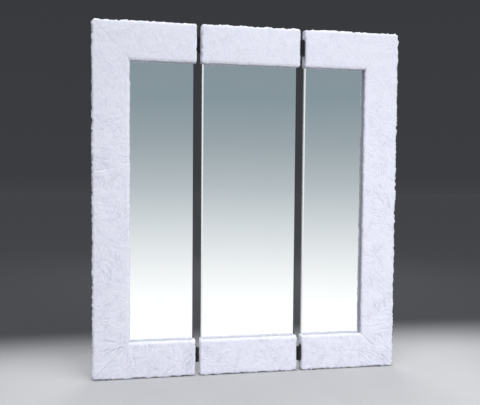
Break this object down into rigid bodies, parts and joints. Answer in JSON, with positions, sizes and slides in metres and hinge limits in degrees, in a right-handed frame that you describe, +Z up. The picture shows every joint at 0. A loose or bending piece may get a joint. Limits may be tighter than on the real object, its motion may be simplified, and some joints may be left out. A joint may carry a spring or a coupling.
{
  "type": "folding room divider screen",
  "caption": "Folding room divider screen: upright mirror panels with thick fur-covered padded borders, joined by alternating butt hinges to fold flat in a Z.",
  "frame": {"origin": "bottom centre of the bounding box, on the floor under the middle of the centre panel, panels standing in one line", "axes": "+Z up; -Y the way the mirrors face; +X to the right of a person who looks into the mirrors"},
  "size_m": [1.6, 0.074, 1.8],
  "materials": {
    "white_fur": "long-pile plush",
    "wadding": "polyester wadding",
    "core_timber": "sawn pine",
    "white_board": "white laminate",
    "mirror": "silvered float glass",
    "mounting_tape": "foam tape",
    "back_lining": "non-woven",
    "staple_wire": "galvanised",
    "screw_steel": "zinc plated",
    "glide_nylon": "moulded nylon",
    "hinge_black": "black zinc"
  },
  "bodies": {
    "left_panel": {"left_back_lining": "back_lining", "left_backboard": "white_board", "left_core_bottom": "core_timber", "left_core_screws": "screw_steel", "left_core_stile": "core_timber", "left_core_top": "core_timber", "left_fur_bottom": "white_fur", "left_fur_stile": "white_fur", "left_fur_top": "white_fur", "left_glides": "glide_nylon", "left_hinge_bottom_wing_leaf": "hinge_black", "left_hinge_top_wing_leaf": "hinge_black", "left_hinge_wing_screws": "hinge_black", "left_mirror": "mirror", "left_mirror_tape": "mounting_tape", "left_staples": "staple_wire", "left_wadding_bottom": "wadding", "left_wadding_stile": "wadding", "left_wadding_top": "wadding"},
    "centre_panel": {"centre_back_lining": "back_lining", "centre_backboard": "white_board", "centre_core_bottom": "core_timber", "centre_core_screws": "screw_steel", "centre_core_top": "core_timber", "centre_fur_bottom": "white_fur", "centre_fur_top": "white_fur", "centre_glides": "glide_nylon", "centre_mirror": "mirror", "centre_mirror_tape": "mounting_tape", "centre_staples": "staple_wire", "centre_wadding_bottom": "wadding", "centre_wadding_top": "wadding", "left_hinge_bottom_centre_leaf": "hinge_black", "left_hinge_centre_screws": "hinge_black", "left_hinge_pins": "hinge_black", "left_hinge_top_centre_leaf": "hinge_black", "right_hinge_bottom_centre_leaf": "hinge_black", "right_hinge_centre_screws": "hinge_black", "right_hinge_pins": "hinge_black", "right_hinge_top_centre_leaf": "hinge_black"},
    "right_panel": {"right_back_lining": "back_lining", "right_backboard": "white_board", "right_core_bottom": "core_timber", "right_core_screws": "screw_steel", "right_core_stile": "core_timber", "right_core_top": "core_timber", "right_fur_bottom": "white_fur", "right_fur_stile": "white_fur", "right_fur_top": "white_fur", "right_glides": "glide_nylon", "right_hinge_bottom_wing_leaf": "hinge_black", "right_hinge_top_wing_leaf": "hinge_black", "right_hinge_wing_screws": "hinge_black", "right_mirror": "mirror", "right_mirror_tape": "mounting_tape", "right_staples": "staple_wire", "right_wadding_bottom": "wadding", "right_wadding_stile": "wadding", "right_wadding_top": "wadding"}
  },
  "joints": [
    {"name": "left_fold", "type": "hinge", "parent": "centre_panel", "child": "left_panel", "pos_m": [-0.271, 0.032, 0.9], "axis": [0, 0, -1], "range_deg": [-20, 178]},
    {"name": "right_fold", "type": "hinge", "parent": "centre_panel", "child": "right_panel", "pos_m": [0.271, -0.032, 0.9], "axis": [0, 0, -1], "range_deg": [-20, 178]}
  ]
}
